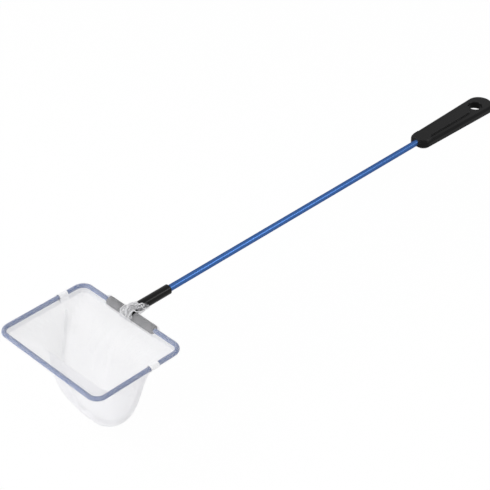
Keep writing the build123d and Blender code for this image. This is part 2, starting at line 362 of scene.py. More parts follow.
print("moulded skin group:", len(skin.nodes), "nodes")

# %% [markdown]
# ## Finishes
#
# Each material takes a shader, places the groups it needs with its own values, and sets the numbers that
# are the same all over straight on the shader's sockets.

# %% Finish helpers
def new_finish(name):
    """Material with a principled shader; gives the material, its nodes and the shader."""
    finish = bpy.data.materials.new(name)
    finish.use_nodes = True
    nodes = finish.node_tree
    return finish, nodes, nodes.nodes["Principled BSDF"]


def place_group(tree, group, **values):
    """Shared effect, placed in a material with its own values."""
    node = add_node(tree, "ShaderNodeGroup", node_tree=group)
    for name, value in values.items():
        node.inputs[name].default_value = value
    return node


def add_bump(tree, height, shader, distance, strength):
    """Fine relief on a shader's normal."""
    bump = add_node(tree, "ShaderNodeBump", Distance=distance, Strength=strength)
    tree.links.new(height, bump.inputs["Height"])
    tree.links.new(bump.outputs["Normal"], shader.inputs["Normal"])


print("finish helpers ready")

# %% [markdown]
# The grip and the connector are two mouldings in the same kind of black plastic. The connector reads a
# touch blacker and glossier in the photograph, and the grip duller, so each takes the shared skin with its
# own values.

# %% Black mouldings
def moulding(name, body, grain, gloss):
    """Black plastic with the shared moulded skin."""
    finish, nodes, shader = new_finish(name)
    surface = place_group(nodes, skin, Body=body, Grain=grain)
    nodes.links.new(surface.outputs["Color"], shader.inputs["Base Color"])
    nodes.links.new(surface.outputs["Rough"], shader.inputs["Roughness"])
    shader.inputs["Specular IOR Level"].default_value = gloss
    add_bump(nodes, surface.outputs["Height"], shader, distance=0.08 * mm, strength=0.2)
    return finish


grip_black = moulding("grip_black_skin", (0.007, 0.007, 0.0073, 1), grain=1500, gloss=0.06)
connector_black = moulding("connector_black_skin", (0.003, 0.003, 0.003, 1), grain=1900, gloss=0.15)
print("black mouldings ready")

# %% [markdown]
# The tube is metal under a clear blue lacquer. Light bounces off the metal and is coloured on its way
# through the lacquer, so it is a blue metal in the shader, darker where it is seen edge on. Drawing the
# tube leaves faint lines along its length: a noise stretched far along the tube moves the tone and gloss.
# The wire's vinyl coat has nearly the same blues, but it isn't metal and has no drawn lines.

# %% Blue tube and blue wire
def drawn_lines(tree, stretch, scale):
    """Noise drawn out along one direction of the object."""
    place = add_node(tree, "ShaderNodeTexCoord")
    mapping = add_node(tree, "ShaderNodeMapping", Scale=stretch)
    lines = add_node(tree, "ShaderNodeTexNoise", Scale=scale, Detail=4.0)
    tree.links.new(place.outputs["Object"], mapping.inputs["Vector"])
    tree.links.new(mapping.outputs["Vector"], lines.inputs["Vector"])
    return lines.outputs["Fac"]


def lacquer(name, stretch, light, dark, metal):
    """Blue coat whose tone and gloss follow the drawn lines."""
    finish, nodes, shader = new_finish(name)
    lines = drawn_lines(nodes, stretch, 500)
    tones = add_node(nodes, "ShaderNodeMix", data_type="RGBA")
    tones.inputs["A"].default_value = light
    tones.inputs["B"].default_value = dark
    nodes.links.new(lines, tones.inputs["Factor"])
    nodes.links.new(tones.outputs["Result"], shader.inputs["Base Color"])
    nodes.links.new(ramp(nodes, lines, low=0.24, span=0.12), shader.inputs["Roughness"])
    shader.inputs["Metallic"].default_value = metal
    shader.inputs["Specular Tint"].default_value = (0.15, 0.22, 0.4, 1)
    add_bump(nodes, lines, shader, distance=0.03 * mm, strength=0.12)
    return finish


tube_blue = lacquer("tube_blue_lacquer", (1, 0.02, 1), (0.052, 0.125, 0.33, 1), (0.038, 0.1, 0.27, 1), 0.8)
wire_blue = lacquer("wire_blue_vinyl", (1, 1, 1), (0.055, 0.125, 0.33, 1), (0.04, 0.095, 0.27, 1), 0.0)
print("tube and wire finishes ready")

# %% [markdown]
# The cloth finishes share the weave and the tone. Their thread share differs: the bag is one open layer,
# while seams and joins are several layers with fewer or smaller holes. Seams, joins and rolls also take a
# whiter fibre colour. On the joins and rolls it stands for their layers. On the seam strips, which lie in the
# shade inside the bag, it is partly painted light. Fibres pass light, so a little sheen lightens the cloth
# where it turns away.

# %% Cloth finishes
def cloth(name, pitch, thread, clean, used):
    """Netting with its threads' pitch, their share of that pitch, and two tones."""
    finish, nodes, shader = new_finish(name)
    threads = place_group(nodes, weave, Pitch=pitch, Thread=thread)
    fibres = place_group(nodes, tone, Clean=clean, Used=used)
    nodes.links.new(fibres.outputs["Color"], shader.inputs["Base Color"])
    nodes.links.new(fibres.outputs["Rough"], shader.inputs["Roughness"])
    nodes.links.new(threads.outputs["Cover"], shader.inputs["Alpha"])
    shader.inputs["Specular IOR Level"].default_value = 0.2
    shader.inputs["Sheen Weight"].default_value = 0.2
    add_bump(nodes, threads.outputs["Height"], shader, distance=0.1 * mm, strength=0.5)
    return finish


fresh = (0.82, 0.815, 0.84, 1)
handled = (0.72, 0.72, 0.745, 1)
# Whiter fibre colour for layered cloth. On the joins and rolls it stands for their layers. On the seam strips
# it is partly painted light against the bag's shade.
layered_lit_white = (0.95, 0.95, 0.96, 1)
layered_lit_used_white = (0.9, 0.9, 0.91, 1)
open_pitch = 0.48 * mm
tight_pitch = 0.40 * mm
bag_mesh = cloth("bag_netting", open_pitch, 0.245, fresh, handled)
hem_mesh = cloth("hem_netting", open_pitch, 0.178, fresh, handled)
# Seam strips: a denser weave for the doubled cloth, and the whiter colour, which is partly painted light
# against the shade inside the bag.
seam_white = cloth("doubled_netting_painted_light", tight_pitch, 0.22, layered_lit_white, layered_lit_used_white)
loose_mesh = cloth("loose_netting", open_pitch, 0.17, fresh, handled)
bunched_mesh = cloth("bunched_netting", tight_pitch, 0.34, fresh, handled)
rolled_mesh = cloth("rolled_netting", tight_pitch, 0.45, layered_lit_white, layered_lit_used_white)
join_white = cloth("stacked_netting", tight_pitch, 0.72, layered_lit_white, layered_lit_used_white)
print("cloth finishes ready")

# %% [markdown]
# ## The hard pieces
#
# The grip, tube, connector and wire keep their CAD shapes. Only their material slots change.

# %% Dress the CAD pieces
def dress(node, finish):
    """New finish on a CAD piece."""
    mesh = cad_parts[node].data
    mesh.materials.clear()
    mesh.materials.append(finish)
    print(node, "has", finish.name)


dress("handle_grip", grip_black)
dress("rod_tube", tube_blue)
dress("t_connector", connector_black)
dress("frame_wire", wire_blue)

# %% [markdown]
# ## The loop that carries the cloth
#
# All the cloth hangs from the wire, a rectangle with round corners. One function walks round it: give it a
# distance from the middle of the back run and it gives the place and the direction that points outward.

# %% Walk round the wire
wire_low, wire_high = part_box("frame_wire")
wire_r = (wire_high[2] - wire_low[2]) / 2
rail_x = wire_high[0] - wire_r
back_y = wire_high[1] - wire_r
front_y = wire_low[1] + wire_r
wire_z = (wire_high[2] + wire_low[2]) / 2
loop_corner = 9 * mm
side_run = back_y - front_y - 2 * loop_corner
cross_run = rail_x - loop_corner
bend = math.pi / 2 * loop_corner
loop_length = 4 * cross_run + 2 * side_run + 4 * bend


def around_loop(distance):
    """Place on the wire's centre line and the outward direction there, both in plan."""
    distance %= loop_length
    if distance > loop_length / 2:
        x, y, out_x, out_y = around_loop(loop_length - distance)
        return -x, y, -out_x, out_y
    if distance <= cross_run:
        return distance, back_y, 0, 1
    distance -= cross_run
    if distance <= bend:
        turn = distance / loop_corner
        out_x, out_y = math.sin(turn), math.cos(turn)
        return cross_run + loop_corner * out_x, back_y - loop_corner + loop_corner * out_y, out_x, out_y
    distance -= bend
    if distance <= side_run:
        return rail_x, back_y - loop_corner - distance, 1, 0
    distance -= side_run
    if distance <= bend:
        turn = distance / loop_corner
        out_x, out_y = math.cos(turn), -math.sin(turn)
        return cross_run + loop_corner * out_x, front_y + loop_corner + loop_corner * out_y, out_x, out_y
    distance -= bend
    return cross_run - distance, front_y, 0, -1


print("wire loop", round(loop_length, 4), "m round")

# %% [markdown]
# ## Making a sheet of cloth
#
# A sheet is a grid of points, row by row. Beside its faces it carries a map named cloth, where one unit is
# one metre of fabric, so that the weave keeps its true size on every piece, however it is folded. Rolls
# and threads are made in the same way, from grids that close into tubes.

# %% Sheet helper
def running_length(points):
    """Distance along a line of points, at each point."""
    lengths = [0.0]
    for first, second in zip(points, points[1:]):
        lengths.append(lengths[-1] + (second - first).length)
    return lengths


def measured(piece):
    """Area of a piece's faces."""
    return sum(face.area for face in piece.data.polygons)


def lay_cloth(name, grids, finish, slot, *nodes):
    """One piece of sheets through rows of points, mapped in metres of cloth, in place of some CAD nodes."""
    corners, chart, quads = [], [], []
    for rows in grids:
        count = len(rows[0])
        wide = running_length(rows[len(rows) // 2])
        deep = running_length([row[count // 2] for row in rows])
        first = len(corners)
        for r, row in enumerate(rows):
            corners += row
            chart += [(wide[c], deep[r]) for c in range(count)]
        for r in range(len(rows) - 1):
            for c in range(count - 1):
                start = first + r * count + c
                quads.append((start, start + 1, start + count + 1, start + count))
    mesh = bpy.data.meshes.new(name)
    mesh.from_pydata(corners, [], quads)
    layer = mesh.uv_layers.new(name="cloth")
    for loop in mesh.loops:
        layer.data[loop.index].uv = chart[loop.vertex_index]
    mesh.shade_smooth()
    mesh.materials.append(finish)
    piece = bpy.data.objects.new(name, mesh)
    bpy.context.collection.objects.link(piece)
    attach(piece, "root")
    if nodes:
        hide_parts(*nodes)
    print(name, "area", round(measured(piece) * 1e4, 1), "cm2,", len(quads), "faces")
    return piece


# %% [markdown]
# Sewn mesh has no sharp change and no even line. A soft step fades one shape into the next, and a noise
# that gives the same value at the same place on every run makes puckers, folds and wavering edges.

# %% Soft steps and unevenness
def smooth_step(value, start, end):
    """0 up to the start, 1 from the end on, and a soft rise between them."""
    share = min(max((value - start) / (end - start), 0), 1)
    return share * share * (3 - 2 * share)


def wobble(x, y, z, size):
    """Repeatable unevenness between about -1 and 1. A fixed number for x, y or z picks a slice of it."""
    return noise.noise(Vector((x / size, y / size, z / size)))


print("half way up a soft step:", smooth_step(0.5, 0, 1))

# %% [markdown]
# ## The hem
#
# The edge of the mesh is folded over the wire and sewn to itself just below it, then hangs as a short
# doubled skirt that leans into the loop. One layer of mesh over blue wire is what gives the rim its slate
# colour. The section is a line of cloth: up the outer layer, round the wire, down the inner layer. It is
# carried round the loop with small puckers where the thread draws it in.

# %% Hem section
lean = math.radians(30)
down_out, down_z = -math.sin(lean), -math.cos(lean)
side_out, side_z = math.cos(lean), -math.sin(lean)
cloth_room = 0.32 * mm
fold_r = wire_r + cloth_room
stitch_drop = 3.6 * mm
below_round = 0.9 * mm
skirt_drop = 5.9 * mm
least_skirt = 0.6 * mm
layer_half = 0.22 * mm
round_start, round_sweep, round_steps = math.radians(-48), math.radians(276), 18
pucker_on_round = 0.4


def hem_line(radius, pucker, layer):
    """Cloth round the wire in the loop's outward and up directions, from the outer skirt to the inner one."""
    closed = max(stitch_drop, radius + below_round)
    foot = max(skirt_drop, closed + least_skirt)
    skirt = (foot, (foot + closed) / 2, closed)
    swell = radius + pucker * pucker_on_round
    points = [(layer + pucker, drop) for drop in skirt]
    for step in range(round_steps + 1):
        turn = round_start + round_sweep * step / round_steps
        points.append((swell * math.cos(turn), -swell * math.sin(turn)))
    points += [(pucker - layer, drop) for drop in reversed(skirt)]
    return [(side * side_out + drop * down_out, side * side_z + drop * down_z) for side, drop in points]


print("hem section of", len(hem_line(fold_r, 0, layer_half)), "points")

# %% [markdown]
# The section is set square to the loop at short steps all the way round. One noise varies its radius and
# a quicker one its puckers, so that no two stretches of the rim are alike.

# %% Hem along the loop
hem_step = 0.9 * mm
waver_depth, waver_size = 0.09 * mm, 3 * mm
pucker_depth, pucker_size = 0.12 * mm, 2.2 * mm


def hem_strip(name, start, end, radius_at, finish, slot, node, layer=layer_half):
    """Hem along the loop between two distances."""
    steps = max(2, round(abs(end - start) / hem_step))
    rows = []
    for step in range(steps + 1):
        distance = start + (end - start) * step / steps
        x, y, out_x, out_y = around_loop(distance)
        radius = radius_at(distance) + waver_depth * wobble(distance, 0.1, 0.3, waver_size)
        pucker = pucker_depth * wobble(distance, 0.7, 0.2, pucker_size)
        line = hem_line(radius, pucker, layer)
        rows.append([Vector((x + out * out_x, y + out * out_y, wire_z + z)) for out, z in line])
    return lay_cloth(name, [rows], finish, slot, node)


print("hem sections every", round(hem_step, 4), "m")

# %% [markdown]
# The front panel's hem runs round the front of the loop from one side rail to the other. On each rail it
# meets the rear hem in a join nine millimetres long, where the layers lie stacked and show as solid white.
# The joins are hem strips too, with a slightly larger round and a dense weave. Their places come from the
# CAD: they aren't opposite each other.

# %% Front hem and joins
join_half = 4.5 * mm
join_swell = 0.35 * mm
join_layer = 0.5 * mm


def along_rail(node):
    """Distance round the loop to the middle of a CAD piece on the right rail, or to its mirror image."""
    low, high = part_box(node)
    return cross_run + bend + back_y - loop_corner - (low[1] + high[1]) / 2


def wire_only(distance):
    """Radius of the hem's round on the bare wire."""
    return fold_r


def join_round(distance):
    """Radius of the round where layers are stacked."""
    return fold_r + join_swell


right_join = along_rail("hem_join_right")
left_join = loop_length - along_rail("hem_join_left")
front_hem = hem_strip(
    "front_hem", right_join + join_half, left_join - join_half, wire_only, hem_mesh, "hem_mesh", "hem_front")
join_right = hem_strip(
    "join_right", right_join - join_half, right_join + join_half, join_round, join_white, "seam_white",
    "hem_join_right", join_layer)
join_left = hem_strip(
    "join_left", left_join - join_half, left_join + join_half, join_round, join_white, "seam_white",
    "hem_join_left", join_layer)

# %% [markdown]
# At the back the hem is drawn over the two arms of the connector, so its round grows from the wire's size
# to the arm's in a short taper, and the cloth bunches where it meets the stem.

# %% Rear hems
arm_half = (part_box("t_connector")[1][0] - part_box("t_connector")[0][0]) / 2
arm_r = 4.15 * mm
arm_taper = 5 * mm
stem_side = 4.9 * mm
bunch_rise, bunch_run = 0.35 * mm, 4 * mm


def over_arm(distance):
    """Radius of the hem's round: the arm's near the middle of the back run, the wire's beyond it."""
    across = min(distance, loop_length - distance)
    wide = arm_r + cloth_room
    bunch = bunch_rise * (1 - smooth_step(across, stem_side, stem_side + bunch_run))
    return wide + bunch - (wide - fold_r) * smooth_step(across, arm_half, arm_half + arm_taper)


rear_hem_right = hem_strip(
    "rear_hem_right", stem_side, right_join - join_half, over_arm, hem_mesh, "hem_mesh", "hem_rear_right")
rear_hem_left = hem_strip(
    "rear_hem_left", left_join + join_half, loop_length - stem_side, over_arm, hem_mesh, "hem_mesh",
    "hem_rear_left")

# %% [markdown]
# ## The bag
#
# Two panels of mesh are sewn together along a U: down one side, round the foot and up the other side. The
# mouth is as wide as the loop, but the cloth falls in quickly below the hem and hangs almost flat at the
# foot. Each panel is lofted from level lines, from the hem's stitching down to the foot, and then gets the
# soft folds of hanging netting. A cloth solver would give folds too, but the photograph shows few of them,
# and lofting keeps the outline that the photograph does show.

# %% Width and depth of the bag
panel_low, panel_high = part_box("net_front_panel")
panel_top_z = panel_high[2]
bag_drop = panel_top_z - panel_low[2]
skirt_in = 2.9 * mm
top_half = rail_x - skirt_in
mouth_half = (back_y - front_y) / 2 - skirt_in
side_draw, side_draw_run, side_taper = 7 * mm, 6 * mm, 4 * mm
depth_draw, depth_draw_run, depth_taper = 22 * mm, 5.2 * mm, 15.4 * mm
foot_half_depth = 1.15 * mm
foot_flattening = 0.2
# Powers of the curves that round the foot: the higher the first, the later the bag begins to close.
side_late, side_round = 5, 0.6
depth_late = 6


def seam_half(level):
    """Half the bag's width at a share of its depth: drawn in below the hem, then a rounded foot."""
    drawn = side_draw * (1 - math.exp(-level * bag_drop / side_draw_run))
    return (top_half - drawn - side_taper * level) * (1 - level**side_late) ** side_round


def half_depth(level):
    """Half the bag from front to rear: drawn in fast below the hem, then tapering to a flat foot."""
    drawn = depth_draw * (1 - math.exp(-level * bag_drop / depth_draw_run))
    open_half = mouth_half - foot_half_depth - drawn - depth_taper * level
    closing = math.sqrt(1 - level**depth_late)
    return (foot_half_depth + open_half * closing) * (1 - foot_flattening * level)


for level in (0, 0.5, 0.9):
    print("level", level, "half width", round(seam_half(level), 4), "half depth", round(half_depth(level), 4))

# %% [markdown]
# A level line goes round one panel at one height: from the right seam along the side, round a soft corner,
# across, and back to the left seam. The seam's plane leans forward, because the joins sit behind the
# middle of the rails and the foot hangs before it. The bag also hangs a little to one side.

# %% Level lines
centre_y = (front_y + back_y) / 2
foot_y = back_y - 54 * mm
seam_top_y = back_y - 27.5 * mm
seam_lean = foot_y - seam_top_y
hang_x = 1.5 * mm
corner_growth = 60 * mm
largest_corner = 0.85


def level_line(level, towards, count):
    """Points along one panel at one level, from the right seam to the left, with their outward directions."""
    seam_y = seam_top_y + seam_lean * level
    edge_y = centre_y + (foot_y - centre_y) * level + towards * half_depth(level)
    half = seam_half(level)
    depth = abs(edge_y - seam_y)
    corner = min(loop_corner + corner_growth * level, largest_corner * depth, largest_corner * half)
    side = depth - corner
    arc = math.pi / 2 * corner
    whole = 2 * side + 2 * arc + 2 * (half - corner)
    line = []
    for step in range(count):
        distance = whole * step / (count - 1)
        mirrored = distance > whole / 2
        if mirrored:
            distance = whole - distance
        if distance <= side:
            x, y, out_x, out_y = half, seam_y + towards * distance, 1, 0
        elif distance <= side + arc:
            turn = (distance - side) / corner
            out_x, out_y = math.cos(turn), towards * math.sin(turn)
            x = half - corner + corner * out_x
            y = edge_y - towards * corner + corner * out_y
        else:
            x, y, out_x, out_y = half - corner - (distance - side - arc), edge_y, 0, towards
        if mirrored:
            x, out_x = -x, -out_x
        line.append((x + hang_x * level, y, out_x, out_y))
    return line


print("seam leans", round(-seam_lean, 4), "m forward over a drop of", round(bag_drop, 4), "m")

# %% [markdown]
# Three kinds of fold lie on the smooth bag: small gathers just under the hem, a slow billow, and finer
# creases that run down. They fade towards the seams, which hold the cloth straight, and where the bag is
# too flat to have room for them. On the rear panel, pleats also fan out from the cloth bunched at the stem.

# %% Folds
fold_free, fold_room = 0.08, 9 * mm
gather_count, gather_depth, gather_fade = 41, 0.5 * mm, 8 * mm
gather_drift, drift_size = 2, 20 * mm
billow_depth, billow_size, billow_start, billow_full = 1.6 * mm, 34 * mm, 2 * mm, 20 * mm
crease_depth, crease_size, crease_start, crease_full = 0.7 * mm, 16 * mm, 6 * mm, 25 * mm
crease_across, crease_down = 2.4, 0.5
pleat_depth, pleat_width, pleat_fade = 1.0 * mm, 12 * mm, 30 * mm
pleat_spread, pleat_waves = 0.5, 9.0


def fold(x, y, level, share, towards):
    """How far the cloth stands out of its smooth shape."""
    below = level * bag_drop
    ends = smooth_step(min(share, 1 - share), 0, fold_free)
    room = min(1, half_depth(level) / fold_room)
    wave = 2 * math.pi * share * gather_count + gather_drift * wobble(x, y, 0, drift_size)
    gathers = gather_depth * math.sin(wave) * math.exp(-below / gather_fade)
    billow = billow_depth * wobble(x, towards * 0.3, below, billow_size)
    billow *= smooth_step(below, billow_start, billow_full)
    crease = crease_depth * wobble(x * crease_across, towards * 0.9, below * crease_down, crease_size)
    crease *= smooth_step(below, crease_start, crease_full)
    return ends * room * (gathers + billow + crease)


def neck_pleats(x, level, towards):
    """Pleats that fan down the rear panel from the cloth bunched at the stem."""
    below = level * bag_drop
    spread = pleat_width + pleat_spread * below
    fan = math.exp(-((x / spread) ** 2)) * math.exp(-below / pleat_fade)
    return max(towards, 0) * pleat_depth * fan * math.sin(pleat_waves * x / spread)


print("folds stand out by up to about", round(gather_depth + billow_depth + crease_depth, 4), "m")

# %% [markdown]
# Each panel starts with three rows tucked up inside the hem's skirt, so that no gap shows below the rim.
# Its other rows lie close together under the hem, where the cloth bends most, and two last rows close
# the foot.

# %% Panels
panel_columns = 221
tuck_drops = (3.9 * mm, 4.9 * mm, 5.8 * mm)
tuck_rise = 0.4 * mm
level_count, level_crowding = 72, 1.25
last_open_level = 0.996
level_shares = [number / level_count for number in range(1, level_count + 1)]
levels = [last_open_level * share**level_crowding for share in level_shares] + [0.9985, 1.0]


def make_panel(name, towards, node):
    """Panel from inside the hem's skirt down to the foot."""
    rows = []
    for drop in tuck_drops:
        rise = (tuck_drops[-1] - drop) * math.cos(lean)
        spread = (tuck_drops[-1] - drop) * math.sin(lean)
        row = []
        for x, y, out_x, out_y in level_line(0, towards, panel_columns):
            row.append(Vector((x + spread * out_x, y + spread * out_y, panel_top_z + tuck_rise + rise)))
        rows.append(row)
    for level in levels:
        row = []
        for place, (x, y, out_x, out_y) in enumerate(level_line(level, towards, panel_columns)):
            share = place / (panel_columns - 1)
            out = fold(x, y, level, share, towards) + neck_pleats(x, level, towards)
            row.append(Vector((x + out * out_x, y + out * out_y, panel_top_z - bag_drop * level)))
        rows.append(row)
    return lay_cloth(name, [rows], bag_mesh, "bag_mesh", node)


front_net = make_panel("front_net", -1, "net_front_panel")
rear_net = make_panel("rear_net", 1, "net_rear_panel")

# %% [markdown]
# ## Seams of the bag
#
# Where the two panels meet, their edges are turned into the bag and sewn flat against each other. That leaves
# a narrow doubled strip along the U. It is whiter than the rest partly because it has several layers, and
# partly through painted light: a whiter fibre colour that lifts it out of the shade inside the bag. First
# comes the leaning plane that the seam lies in: a place on it is found from the U's edge, by a distance
# inward, square to that edge, and a lift off the plane.

# %% Seam plane
seam_corner = 37 * mm
seam_length = math.hypot(seam_lean, bag_drop)
split_level = 1 - seam_corner / seam_length
level_ahead = 0.003
seam_wander = 0.7 * mm


def seam_point(level, inset, lift, side=1):
    """Place on the leaning plane of the seam, set in from the U's edge."""
    half = seam_half(level)
    across = seam_half(level + level_ahead) - half
    down = level_ahead * seam_length
    length = math.hypot(across, down)
    x = half - inset * down / length
    share = level + inset * across / length / seam_length
    x += seam_wander * wobble(level, side * 0.3, 0.1, 0.16)
    y = seam_top_y + seam_lean * share + lift
    return Vector((side * x + hang_x * share, y, panel_top_z - bag_drop * share))


def even_levels(start, end, count):
    """Levels at even steps down a seam."""
    return [start + (end - start) * step / (count - 1) for step in range(count)]


print("seam", round(seam_length, 4), "m down, its foot starts at level", round(split_level, 3))

# %% [markdown]
# A side strip is a thin band, folded at its inner edge. It runs from just under the hem down to where the
# foot begins to turn, and wavers a little off its plane, as a sewn edge does.

# %% Side seams
# Inset and lift of the band's section, in millimetres.
strip_section = ((0.7, 0.35), (2.2, 0.45), (4.0, 0.25), (4.4, 0.0), (4.0, -0.25), (2.2, -0.45), (0.7, -0.35))
strip_start = 0.05
strip_rows = 60
strip_waver = 0.25 * mm


def side_strip(name, side, node):
    """Strip down one side of the bag."""
    rows = []
    for level in even_levels(strip_start, split_level, strip_rows):
        waver = strip_waver * wobble(level, 0.4, 0.2, 0.04)
        rows.append([seam_point(level, inset * mm, lift * mm + waver, side) for inset, lift in strip_section])
    return lay_cloth(name, [rows], seam_white, "seam_white", node)


side_strip_right = side_strip("side_strip_right", 1, "side_seam_right")
side_strip_left = side_strip("side_strip_left", -1, "side_seam_left")

# %% [markdown]
# Round the foot the same band goes down from the right side, across, and up to the left side. The levels
# come closer together on the way down, because there the band turns from steep to flat.

# %% Foot seam
foot_end = 0.985


def foot_levels(count):
    """Levels from the split down to the foot, closer together as the seam flattens."""
    turns = [math.pi / 2 * step / count for step in range(count + 1)]
    return [split_level + (foot_end - split_level) * math.sin(turn) for turn in turns]


down_levels = foot_levels(60)
foot_rows = []
for inset, lift in strip_section:
    right = [seam_point(level, inset * mm, lift * mm, 1) for level in down_levels]
    left = [seam_point(level, inset * mm, lift * mm, -1) for level in reversed(down_levels)]
    foot_rows.append(right + left)
foot_strip = lay_cloth("foot_strip", [foot_rows], seam_white, "seam_white", "bottom_seam")

# %% [markdown]
# ## The gathered neck
#
# At the root of the stem the spare mesh is bunched up round the connector. It reads as white crumpled
# cloth with the dark plastic showing between its folds. Three pieces make it: a loose sleeve round the
# stem, a crumpled patch over the middle of the T, and white rolls of cloth on top of both. The sleeve
# is a tube of mesh that stands off the stem in folds. It reaches further up the stem on its low side, and
# starts clear of the connector's arms.

# %% Sleeve round the stem
stem_axis_z = 0.8 * mm
stem_r = 4.6 * mm
sleeve_stand_off = 0.75 * mm
sleeve_flare = 0.9 * mm
sleeve_clear = 0.15 * mm
sleeve_root = 4.4 * mm
sleeve_least, sleeve_growth, sleeve_waver = 1.8 * mm, 11.5 * mm, 1.6 * mm
sleeve_low_turn = 0.6
sleeve_folds, sleeve_fold_height, sleeve_crumple = 8, 0.4 * mm, 0.5 * mm
sleeve_middle_r = stem_r + 0.8 * mm
arm_clear = 0.4 * mm
least_start = 2 * mm
sleeve_columns, sleeve_rows = 120, 18


def sleeve_point(turn, share):
    """Place on the sleeve: share 0 at the net, 1 at its uneven end up the stem."""
    round_x, round_z = math.cos(turn), math.sin(turn)
    low_side = 0.5 - 0.5 * math.sin(turn - sleeve_low_turn)
    length = sleeve_least + sleeve_growth * low_side + sleeve_waver * wobble(round_x, round_z, 0.3, 0.5)
    above_arms = stem_axis_z + sleeve_middle_r * round_z - wire_z
    arm_reach = math.sqrt(max((arm_r + arm_clear) ** 2 - above_arms**2, 0))
    start, end = max(arm_reach, least_start), sleeve_root + length
    wave = turn * sleeve_folds + 3 * wobble(round_x, round_z, share, 0.9)
    folds = sleeve_fold_height * math.sin(wave)
    crumple = sleeve_crumple * wobble(round_x * 3, round_z * 3, share * 2.4, 0.8)
    radius = stem_r + sleeve_stand_off + sleeve_flare * (1 - share) + folds + crumple
    radius = max(radius, stem_r + sleeve_clear)
    y = back_y + start + (end - start) * share
    return Vector((radius * round_x, y, stem_axis_z + radius * round_z))


sleeve_turns = [2 * math.pi * c / sleeve_columns for c in range(sleeve_columns + 1)]
sleeve_grid = [[sleeve_point(turn, r / sleeve_rows) for turn in sleeve_turns] for r in range(sleeve_rows + 1)]
neck_sleeve = lay_cloth("neck_sleeve", [sleeve_grid], loose_mesh, "bag_mesh", "neck_gather")

# %% [markdown]
# The patch is draped by casting rays at the connector and resting the cloth on what they hit. Then it is
# relaxed: each point moves to the middle of its neighbours unless that is too near the plastic, so the
# cloth spans the hollows and doesn't cling to them. A cloth solver would do the same more slowly.

# %% Drape over the T
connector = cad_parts["t_connector"].data
tee = BVHTree.FromPolygons(
    [vertex.co for vertex in connector.vertices], [list(face.vertices) for face in connector.polygons])
patch_left, patch_right = -9.6 * mm, 5.4 * mm
patch_start, patch_end = math.radians(-150), math.radians(34)
patch_rows, patch_cols = 70, 50
patch_clear = 0.7 * mm
ray_millimetres = 30
relaxing_sweeps = 60


def patch_turn(row):
    """Angle round the arms' axis, from straight up."""
    return patch_start + (patch_end - patch_start) * row / (patch_rows - 1)


def patch_across(col):
    """Place across the T."""
    return patch_left + (patch_right - patch_left) * col / (patch_cols - 1)


def resting_height(row, col):
    """Distance from the arms' axis to the connector along one ray."""
    turn = patch_turn(row)
    outward = Vector((0, math.sin(turn), math.cos(turn)))
    axis = Vector((patch_across(col), back_y, wire_z))
    hit = tee.ray_cast(axis + outward * ray_millimetres * mm, -outward)[0]
    return ray_millimetres * mm if hit is None else (hit - axis).length


floor_heights = [[resting_height(r, c) for c in range(patch_cols)] for r in range(patch_rows)]
heights = [row[:] for row in floor_heights]
for sweep in range(relaxing_sweeps):
    for r in range(patch_rows):
        for c in range(patch_cols):
            near = [heights[max(r - 1, 0)][c], heights[min(r + 1, patch_rows - 1)][c],
                    heights[r][max(c - 1, 0)], heights[r][min(c + 1, patch_cols - 1)]]
            heights[r][c] = max(floor_heights[r][c] + patch_clear, sum(near) / 4)
print("drape stands", round(max(map(max, heights)), 4), "m from the arms' axis at most")

# %% [markdown]
# The draped patch is still smooth. Two sizes of crumple lift it, never push it in, so that it stays clear
# of the connector, and its two side edges waver.

# %% Patch over the T
crumple_height = 1.8 * mm
rim_waver = 1.5 * mm
# How fast the two sizes of crumple change, per metre across and per radian round.
large_across, large_round = 500, 2.2
small_across, small_round = 1200, 5


def patch_point(row, col):
    """Place on the draped patch with its crumples and uneven rim."""
    turn = patch_turn(row)
    off_centre = 2 * col / (patch_cols - 1) - 1
    across = patch_across(col)
    across += rim_waver * off_centre * wobble(turn, 0.4, math.copysign(0.6, off_centre), 0.45)
    large = abs(wobble(across * large_across, turn * large_round, 0.2, 0.9))
    small = abs(wobble(across * small_across, turn * small_round, 0.8, 0.9))
    height = heights[row][col] + crumple_height * (large + 0.5 * small)
    return Vector((across, back_y + height * math.sin(turn), wire_z + height * math.cos(turn)))


patch_grid = [[patch_point(r, c) for c in range(patch_cols)] for r in range(patch_rows)]
neck_patch = lay_cloth("neck_patch", [patch_grid], bunched_mesh, "bag_mesh")

# %% [markdown]
# Where the cloth is bunched tightest it rolls up on itself and shows as white squiggles on the darker T.
# Each roll is a thin soft tube along a line. A few points set the line, and a smooth curve is drawn through
# them. The same tube will serve for the sewing thread.

# %% Smooth lines and tubes
# A direction that no line here follows, so that each ring can be squared to it.
off_line = Vector((0.31, 0.17, 0.93))


def between(before, start, end, after, t):
    """Value at a share of the way from start to end, on a curve that heeds the values beside them."""
    square = (2 * before - 5 * start + 4 * end - after) * t * t
    cube = (3 * start - before - 3 * end + after) * t**3
    return 0.5 * (2 * start + (end - before) * t + square + cube)


def smooth_line(points, steps):
    """Even curve through a few points."""
    padded = [points[0], *points, points[-1]]
    line = []
    for four in zip(padded, padded[1:], padded[2:], padded[3:]):
        for step in range(steps):
            line.append(Vector([between(*values, step / steps) for values in zip(*four)]))
    return [*line, points[-1]]


def tube_rows(points, radius_at, sides):
    """Rings of points round a line."""
    turns = [2 * math.pi * step / sides for step in range(sides + 1)]
    last = len(points) - 1
    rows = []
    for place, point in enumerate(points):
        along = (points[min(place + 1, last)] - points[max(place - 1, 0)]).normalized()
        side = along.cross(off_line).normalized()
        rise = side.cross(along)
        radius = radius_at(place / last)
        rows.append([point + radius * (math.cos(turn) * side + math.sin(turn) * rise) for turn in turns])
    return rows


print("tube helpers ready")

